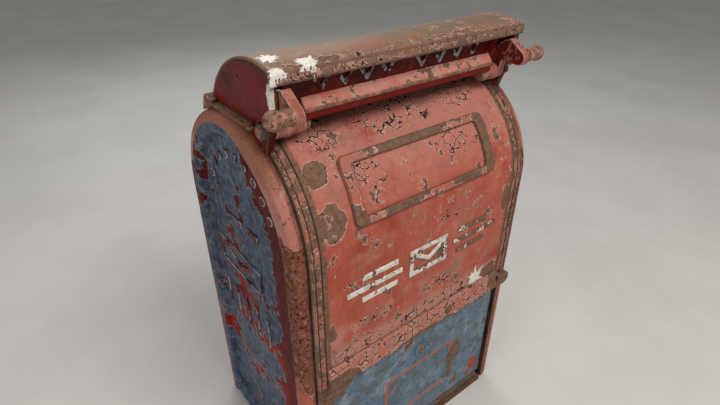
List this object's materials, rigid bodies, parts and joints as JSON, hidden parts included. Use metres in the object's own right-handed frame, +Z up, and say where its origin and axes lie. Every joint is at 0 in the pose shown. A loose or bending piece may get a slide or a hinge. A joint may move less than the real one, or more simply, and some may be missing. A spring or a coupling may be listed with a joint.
{
  "type": "post box",
  "caption": "Round-topped street post box: cast sides, sheet body, fixed hood over a pull-down letter flap with ball-knob ears, bottom-hinged locked collection door.",
  "frame": {"origin": "centre of the bounding box's bottom face, on the ground under the base plate", "axes": "+Z up; -Y out of the front, where the letter flap and the collection door are; X across the width"},
  "size_m": [0.3754, 0.2692, 0.59],
  "materials": {
    "side_paint": "worn blue over red paint on cast iron",
    "sheet_paint": "faded coral red paint, cracked and chipped",
    "strip_paint": "worn brown paint on ridged strip",
    "rail_paint": "thick cracked pink paint",
    "frame_paint": "paint worn to brown on the card frame",
    "white_marks": "worn white paint on raised marks",
    "hood_paint": "coral red paint with brown and green-grey wear",
    "dark_red_paint": "deep red paint, sheltered from the sun",
    "flap_marks": "pale grey-blue paint on raised marks",
    "ear_paint": "pink-red paint with worn edges",
    "knob_paint": "rust-freckled pinkish brown",
    "door_paint": "mottled steel-blue paint with rust",
    "base_paint": "rusty brown",
    "inner_steel": "dull steel with light rust",
    "lock_metal": "tarnished",
    "bright_steel": "weathered zinc plate",
    "buffer_rubber": "matt"
  },
  "bodies": {
    "body": {"side_left": "side_paint", "side_right": "side_paint", "side_marks_left": "white_marks", "side_marks_right": "white_marks", "edge_strip_left": "strip_paint", "edge_strip_right": "strip_paint", "front_sheet": "sheet_paint", "back_sheet": "sheet_paint", "drip_rail": "rail_paint", "card_frame": "frame_paint", "card_plate": "sheet_paint", "front_marks": "white_marks", "base_plate": "base_paint", "mount_strap_upper": "inner_steel", "mount_strap_lower": "inner_steel", "door_header": "inner_steel", "strike_plate": "bright_steel", "hood_shell": "hood_paint", "hood_cheek_left": "dark_red_paint", "hood_cheek_right": "dark_red_paint", "hood_base": "hood_paint", "pivot_bracket_left": "dark_red_paint", "pivot_bracket_right": "dark_red_paint", "pivot_pin_left": "knob_paint", "pivot_pin_right": "knob_paint", "pivot_nut_left": "bright_steel", "pivot_nut_right": "bright_steel", "hood_bolts": "bright_steel", "stop_buffers": "buffer_rubber", "base_leaf": "inner_steel", "hinge_pin": "bright_steel"},
    "flap": {"flap_plate": "dark_red_paint", "flap_marks": "flap_marks", "flap_ledge": "ear_paint", "flap_tray": "inner_steel", "counterweight": "inner_steel", "ear_left": "ear_paint", "ear_right": "ear_paint", "knob_left": "knob_paint", "knob_right": "knob_paint"},
    "door": {"door_panel": "door_paint", "door_leaf": "inner_steel", "lock_ring": "lock_metal", "lock_case": "inner_steel", "lock_cover": "bright_steel", "lock_screws": "bright_steel"},
    "plug": {"lock_plug": "lock_metal"},
    "bolt": {"lock_bolt": "bright_steel"}
  },
  "joints": [
    {"name": "flap_pull", "type": "hinge", "parent": "body", "child": "flap", "pos_m": [0, -0.07, 0.527], "axis": [1, 0, 0], "range_deg": [0, 50]},
    {"name": "door_swing", "type": "hinge", "parent": "body", "child": "door", "pos_m": [0, -0.119, 0.016], "axis": [1, 0, 0], "range_deg": [0, 90]},
    {"name": "lock_turn", "type": "hinge", "parent": "door", "child": "plug", "pos_m": [0.01, -0.12, 0.171], "axis": [0, -1, 0], "range_deg": [0, 90]},
    {"name": "bolt_throw", "type": "slide", "parent": "door", "child": "bolt", "axis": [0, 0, 1], "range_m": [0, 0.007]}
  ],
  "couplings": [
    {"joint": "lock_turn", "follows": "bolt_throw", "rad_per_m": 224.4}
  ]
}
